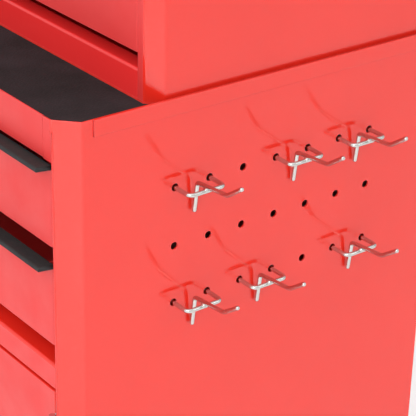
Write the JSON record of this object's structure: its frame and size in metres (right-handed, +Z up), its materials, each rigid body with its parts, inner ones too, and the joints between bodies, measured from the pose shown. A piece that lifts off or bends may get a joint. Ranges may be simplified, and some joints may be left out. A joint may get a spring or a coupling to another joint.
{
  "type": "rolling tool chest",
  "caption": "Rolling tool cabinet with slide-out drawers, a door, a pegboard side with wire hooks and a lift-off top chest with a lid.",
  "frame": {"origin": "on the floor, at the centre of the chest's footprint box", "axes": "+Z up, +X to the right seen from the front, +Y towards the back"},
  "size_m": [0.615, 0.2976, 1.0655],
  "materials": {
    "red_enamel": "glossy red enamel on sheet steel",
    "black_handle": "satin black ledge handles",
    "foam_liner": "matt black closed-cell foam, faintly mottled",
    "zinc_steel": "zinc-plated pressed steel",
    "nickel": "bright nickel plate",
    "hook_wire": "bright plated wire",
    "black_enamel": "satin black enamel",
    "pedal_plastic": "matt red plastic",
    "wheel_rubber": "dark grey solid rubber"
  },
  "bodies": {
    "cabinet": {"cabinet_right_side": "red_enamel", "cabinet_left_side": "red_enamel", "cabinet_back": "red_enamel", "cabinet_base": "red_enamel", "cabinet_front_rail": "red_enamel", "cabinet_divider": "red_enamel", "top_tray": "red_enamel", "tray_liner": "foam_liner", "cabinet_slide_channels": "zinc_steel", "push_handle_tube": "black_enamel", "push_handle_brackets": "black_enamel", "caster_plates": "zinc_steel", "cabinet_fasteners": "zinc_steel", "rigid_caster_forks": "zinc_steel", "door_frame_hinge_leaves": "nickel"},
    "swivel_front": {"swivel_fork_front": "zinc_steel"},
    "swivel_rear": {"swivel_fork_rear": "zinc_steel"},
    "pedal_front": {"brake_pedal_front": "pedal_plastic"},
    "pedal_rear": {"brake_pedal_rear": "pedal_plastic"},
    "wheel_left_front": {"wheel_left_front": "wheel_rubber"},
    "wheel_left_rear": {"wheel_left_rear": "wheel_rubber"},
    "wheel_right_front": {"wheel_right_front": "wheel_rubber"},
    "wheel_right_rear": {"wheel_right_rear": "wheel_rubber"},
    "drawer_upper": {"cabinet_drawer_upper": "red_enamel", "cabinet_handle_upper": "black_handle"},
    "drawer_lower": {"cabinet_drawer_lower": "red_enamel", "cabinet_handle_lower": "black_handle"},
    "cage_upper": {"cabinet_cage_upper": "zinc_steel"},
    "cage_lower": {"cabinet_cage_lower": "zinc_steel"},
    "door": {"door_panel": "red_enamel", "door_hinge_leaves": "nickel", "door_pull": "black_handle", "door_lock_housing": "nickel"},
    "door_lock": {"door_lock_cam": "nickel"},
    "hook_1": {"hook_1": "hook_wire"},
    "hook_2": {"hook_2": "hook_wire"},
    "hook_3": {"hook_3": "hook_wire"},
    "hook_4": {"hook_4": "hook_wire"},
    "hook_5": {"hook_5": "hook_wire"},
    "hook_6": {"hook_6": "hook_wire"},
    "chest": {"chest_right_side": "red_enamel", "chest_left_side": "red_enamel", "chest_back": "red_enamel", "chest_floor": "red_enamel", "chest_front_rails": "red_enamel", "chest_till_floor": "red_enamel", "chest_slide_channels": "zinc_steel", "lid_hinge_leaf": "nickel"},
    "chest_drawer_top": {"chest_drawer_top": "red_enamel", "chest_handle_top": "black_handle"},
    "chest_drawer_middle": {"chest_drawer_middle": "red_enamel", "chest_handle_middle": "black_handle"},
    "chest_drawer_bottom": {"chest_drawer_bottom": "red_enamel", "chest_handle_bottom": "black_handle"},
    "chest_cage_top": {"chest_cage_top": "zinc_steel"},
    "chest_cage_middle": {"chest_cage_middle": "zinc_steel"},
    "chest_cage_bottom": {"chest_cage_bottom": "zinc_steel"},
    "lid": {"chest_lid": "red_enamel"},
    "lid_handle": {"lid_handle": "black_enamel"},
    "lid_lock": {"lid_lock_cam": "nickel"}
  },
  "joints": [
    {"name": "drawer_upper_slide", "type": "slide", "parent": "cabinet", "child": "drawer_upper", "axis": [0, -1, 0], "range_m": [0, 0.16]},
    {"name": "drawer_lower_slide", "type": "slide", "parent": "cabinet", "child": "drawer_lower", "axis": [0, -1, 0], "range_m": [0, 0.16]},
    {"name": "cage_upper_slide", "type": "slide", "parent": "cabinet", "child": "cage_upper", "axis": [0, -1, 0], "range_m": [0, 0.08]},
    {"name": "cage_lower_slide", "type": "slide", "parent": "cabinet", "child": "cage_lower", "axis": [0, -1, 0], "range_m": [0, 0.08]},
    {"name": "chest_drawer_top_slide", "type": "slide", "parent": "chest", "child": "chest_drawer_top", "axis": [0, -1, 0], "range_m": [0, 0.115]},
    {"name": "chest_cage_top_slide", "type": "slide", "parent": "chest", "child": "chest_cage_top", "axis": [0, -1, 0], "range_m": [0, 0.0575]},
    {"name": "chest_drawer_middle_slide", "type": "slide", "parent": "chest", "child": "chest_drawer_middle", "axis": [0, -1, 0], "range_m": [0, 0.115]},
    {"name": "chest_cage_middle_slide", "type": "slide", "parent": "chest", "child": "chest_cage_middle", "axis": [0, -1, 0], "range_m": [0, 0.0575]},
    {"name": "chest_drawer_bottom_slide", "type": "slide", "parent": "chest", "child": "chest_drawer_bottom", "axis": [0, -1, 0], "range_m": [0, 0.115]},
    {"name": "chest_cage_bottom_slide", "type": "slide", "parent": "chest", "child": "chest_cage_bottom", "axis": [0, -1, 0], "range_m": [0, 0.0575]},
    {"name": "chest_lift", "type": "slide", "parent": "cabinet", "child": "chest", "axis": [0, 0, 1], "range_m": [0, 0.12]},
    {"name": "door_hinge", "type": "hinge", "parent": "cabinet", "child": "door", "pos_m": [0.246, -0.1411, 0.3], "axis": [0, 0, 1], "range_deg": [0, 110]},
    {"name": "door_lock_turn", "type": "hinge", "parent": "door", "child": "door_lock", "pos_m": [-0.215, -0.1382, 0.5418], "axis": [0, -1, 0], "range_deg": [0, 90]},
    {"name": "lid_hinge", "type": "hinge", "parent": "chest", "child": "lid", "pos_m": [0, 0.134, 1.01725], "axis": [-1, 0, 0], "range_deg": [0, 95]},
    {"name": "lid_handle_fold", "type": "hinge", "parent": "lid", "child": "lid_handle", "pos_m": [0, 0.042, 1.0585], "axis": [-1, 0, 0], "range_deg": [0, 100]},
    {"name": "lid_lock_turn", "type": "hinge", "parent": "chest", "child": "lid_lock", "pos_m": [0, -0.077, 0.999], "axis": [0, 1, 0], "range_deg": [0, 90]},
    {"name": "swivel_front_turn", "type": "hinge", "parent": "cabinet", "child": "swivel_front", "pos_m": [-0.215, -0.0952, 0.09], "axis": [0, 0, 1], "continuous": true},
    {"name": "wheel_left_front_spin", "type": "hinge", "parent": "swivel_front", "child": "wheel_left_front", "pos_m": [-0.19, -0.0952, 0.0375], "axis": [0, 1, 0], "continuous": true},
    {"name": "wheel_right_front_spin", "type": "hinge", "parent": "cabinet", "child": "wheel_right_front", "pos_m": [0.215, -0.0952, 0.0375], "axis": [0, 1, 0], "continuous": true},
    {"name": "pedal_front_press", "type": "hinge", "parent": "swivel_front", "child": "pedal_front", "pos_m": [-0.168, -0.0952, 0.0755], "axis": [0, 1, 0], "range_deg": [0, 15]},
    {"name": "swivel_rear_turn", "type": "hinge", "parent": "cabinet", "child": "swivel_rear", "pos_m": [-0.215, 0.1048, 0.09], "axis": [0, 0, 1], "continuous": true},
    {"name": "wheel_left_rear_spin", "type": "hinge", "parent": "swivel_rear", "child": "wheel_left_rear", "pos_m": [-0.19, 0.1048, 0.0375], "axis": [0, 1, 0], "continuous": true},
    {"name": "wheel_right_rear_spin", "type": "hinge", "parent": "cabinet", "child": "wheel_right_rear", "pos_m": [0.215, 0.1048, 0.0375], "axis": [0, 1, 0], "continuous": true},
    {"name": "pedal_rear_press", "type": "hinge", "parent": "swivel_rear", "child": "pedal_rear", "pos_m": [-0.168, 0.1048, 0.0755], "axis": [0, 1, 0], "range_deg": [0, 15]},
    {"name": "hook_1_tilt", "type": "hinge", "parent": "cabinet", "child": "hook_1", "pos_m": [0.2594, -0.0497, 0.6834], "axis": [0, -1, 0], "range_deg": [0, 20]},
    {"name": "hook_2_tilt", "type": "hinge", "parent": "cabinet", "child": "hook_2", "pos_m": [0.2594, 0.0265, 0.6834], "axis": [0, -1, 0], "range_deg": [0, 20]},
    {"name": "hook_3_tilt", "type": "hinge", "parent": "cabinet", "child": "hook_3", "pos_m": [0.2594, 0.0773, 0.6834], "axis": [0, -1, 0], "range_deg": [0, 20]},
    {"name": "hook_4_tilt", "type": "hinge", "parent": "cabinet", "child": "hook_4", "pos_m": [0.2594, -0.0497, 0.6066], "axis": [0, -1, 0], "range_deg": [0, 20]},
    {"name": "hook_5_tilt", "type": "hinge", "parent": "cabinet", "child": "hook_5", "pos_m": [0.2594, 0.0011, 0.6066], "axis": [0, -1, 0], "range_deg": [0, 20]},
    {"name": "hook_6_tilt", "type": "hinge", "parent": "cabinet", "child": "hook_6", "pos_m": [0.2594, 0.0773, 0.6066], "axis": [0, -1, 0], "range_deg": [0, 20]}
  ],
  "couplings": [
    {"joint": "cage_upper_slide", "follows": "drawer_upper_slide", "ratio": 0.5},
    {"joint": "cage_lower_slide", "follows": "drawer_lower_slide", "ratio": 0.5},
    {"joint": "chest_cage_top_slide", "follows": "chest_drawer_top_slide", "ratio": 0.5},
    {"joint": "chest_cage_middle_slide", "follows": "chest_drawer_middle_slide", "ratio": 0.5},
    {"joint": "chest_cage_bottom_slide", "follows": "chest_drawer_bottom_slide", "ratio": 0.5}
  ]
}
